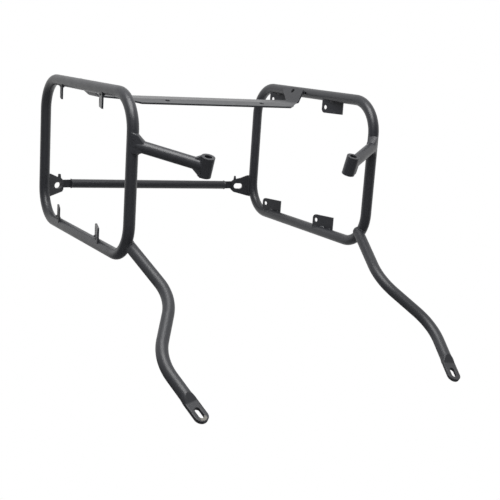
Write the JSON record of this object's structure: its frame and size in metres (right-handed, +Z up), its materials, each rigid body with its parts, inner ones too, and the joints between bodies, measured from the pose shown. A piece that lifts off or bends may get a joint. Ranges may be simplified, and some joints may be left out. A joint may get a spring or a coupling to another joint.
{
  "type": "pannier frame",
  "caption": "Tubular pannier frame: side loops with case tabs, a bent top plate, a rear crossbar, and bent legs and sleeved arms that bolt to the bike.",
  "frame": {"origin": "middle of the line between the two rack holes, on the top face of the plate's lip", "axes": "+X to the vehicle's left, -Y forward, +Z up; X = 0 is the mirror plane"},
  "size_m": [0.523, 0.7002, 0.4354],
  "materials": {
    "coated_steel": "satin"
  },
  "bodies": {
    "root": {"left_loop": "coated_steel", "right_loop": "coated_steel", "left_tab_upper_front": "coated_steel", "left_tab_upper_rear": "coated_steel", "left_tab_lower_front": "coated_steel", "left_tab_lower_rear": "coated_steel", "right_tab_upper_front": "coated_steel", "right_tab_upper_rear": "coated_steel", "right_tab_lower_front": "coated_steel", "right_tab_lower_rear": "coated_steel", "left_gusset": "coated_steel", "right_gusset": "coated_steel", "left_arm": "coated_steel", "right_arm": "coated_steel", "left_boss": "coated_steel", "right_boss": "coated_steel", "left_leg": "coated_steel", "right_leg": "coated_steel", "crossbar": "coated_steel", "left_lug": "coated_steel", "right_lug": "coated_steel", "top_plate": "coated_steel"}
  },
  "joints": []
}
